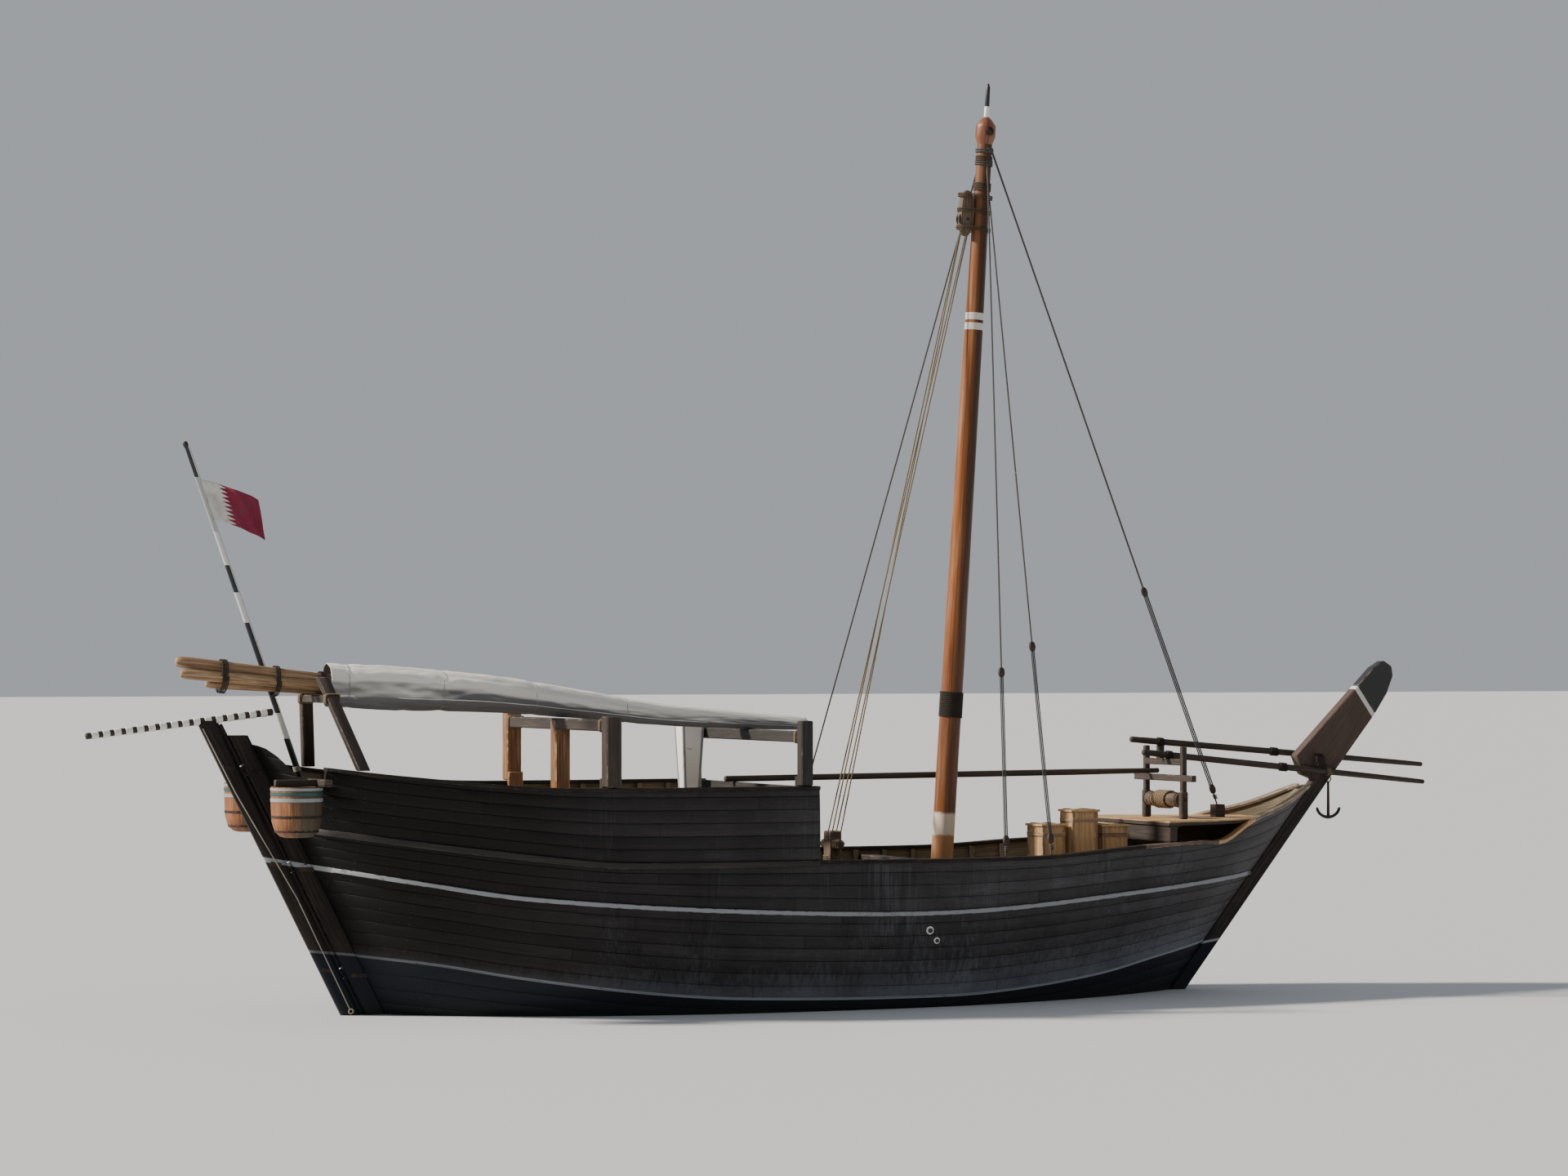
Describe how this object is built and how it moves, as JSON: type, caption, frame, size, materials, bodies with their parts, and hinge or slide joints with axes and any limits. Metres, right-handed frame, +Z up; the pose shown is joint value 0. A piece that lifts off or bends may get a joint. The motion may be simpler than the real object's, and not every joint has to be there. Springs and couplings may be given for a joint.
{
  "type": "dhow sailing boat",
  "caption": "Double-ended wooden trading dhow, afloat at rest, with a raked mast, a lowered yard with its furled sail, a stern-hung rudder and stern casks.",
  "frame": {"origin": "amidships on the centreline at the waterline", "axes": "+X to the bow, +Y to port, +Z up"},
  "size_m": [28.2932, 6.1, 20.1441],
  "materials": {
    "tarred_hull": "weathered tarred planks with salt bleaching",
    "dark_timber": "old oiled timber",
    "weathered_timber": "weathered brown timber",
    "bright_timber": "oiled orange-brown timber",
    "varnished_spar": "worn reddish varnish",
    "deck_planks": "bare dry deck planks",
    "white_paint": "chipped white paint on wood",
    "black_paint": "black paint on wood",
    "sailcloth": "grey-white weathered canvas",
    "flag_cloth": "white and maroon bunting",
    "rope": "laid coir rope",
    "iron": "black rusty iron",
    "box_timber": "tan boards, dry and lightly oiled"
  },
  "bodies": {
    "boat": {"hull_bottom": "tarred_hull", "hull_side_starboard": "tarred_hull", "hull_side_port": "tarred_hull", "keel": "tarred_hull", "stem_post": "dark_timber", "stem_head": "black_paint", "stern_post": "tarred_hull", "quarter_bulwark_starboard": "tarred_hull", "quarter_bulwark_port": "tarred_hull", "waist_bulwark_starboard": "tarred_hull", "waist_bulwark_port": "tarred_hull", "quarter_rail_starboard": "weathered_timber", "quarter_rail_port": "weathered_timber", "main_rail_starboard": "weathered_timber", "main_rail_port": "weathered_timber", "rubbing_strake_starboard": "white_paint", "rubbing_strake_port": "white_paint", "wale_starboard": "weathered_timber", "wale_port": "weathered_timber", "main_deck": "deck_planks", "quarterdeck": "deck_planks", "foredeck": "deck_planks", "foredeck_beam": "dark_timber", "cabin_bulkhead": "weathered_timber", "hatch_coaming": "dark_timber", "mast": "varnished_spar", "masthead": "dark_timber", "mast_thwart": "dark_timber", "backstay_port": "rope", "shroud_fore_starboard": "rope", "shroud_fore_port": "rope", "shroud_aft_starboard": "rope", "forestay": "rope", "halyard_block": "dark_timber", "halyard_bitts": "weathered_timber", "halyard_tackle": "rope", "furled_sail": "sailcloth", "yard": "bright_timber", "mid_gallows": "bright_timber", "fore_gallows": "dark_timber", "aft_gallows": "dark_timber", "cask_beam": "dark_timber", "stern_cask_starboard": "bright_timber", "stern_cask_port": "bright_timber", "ensign_staff": "white_paint", "ensign": "flag_cloth", "bow_frame": "dark_timber", "bow_spar_starboard": "dark_timber", "bow_spar_port": "dark_timber", "spare_spar": "dark_timber", "anchor": "iron", "water_tank": "box_timber", "cook_box": "box_timber", "gear_locker": "box_timber", "vent_trunk": "white_paint"},
    "rudder": {"rudder": "tarred_hull", "steering_spar": "dark_timber"},
    "windlass": {"windlass_drum": "weathered_timber"},
    "hatch": {"hatch_cover": "weathered_timber"},
    "door": {"cabin_door": "bright_timber"}
  },
  "joints": [
    {"name": "rudder_hinge", "type": "hinge", "parent": "boat", "child": "rudder", "pos_m": [-8.6, 0, 0], "axis": [-0.4522, 0, 0.8919], "range_deg": [-35, 35]},
    {"name": "windlass_turn", "type": "hinge", "parent": "boat", "child": "windlass", "pos_m": [8.3, 0, 3.83], "axis": [0, 1, 0], "continuous": true},
    {"name": "hatch_hinge", "type": "hinge", "parent": "boat", "child": "hatch", "pos_m": [2.66, 0, 2.4003], "axis": [0, 1, 0], "range_deg": [0, 90]},
    {"name": "door_hinge", "type": "hinge", "parent": "boat", "child": "door", "pos_m": [-0.745, 0.372, 2.8], "axis": [0, 0, 1], "range_deg": [0, 100]}
  ]
}
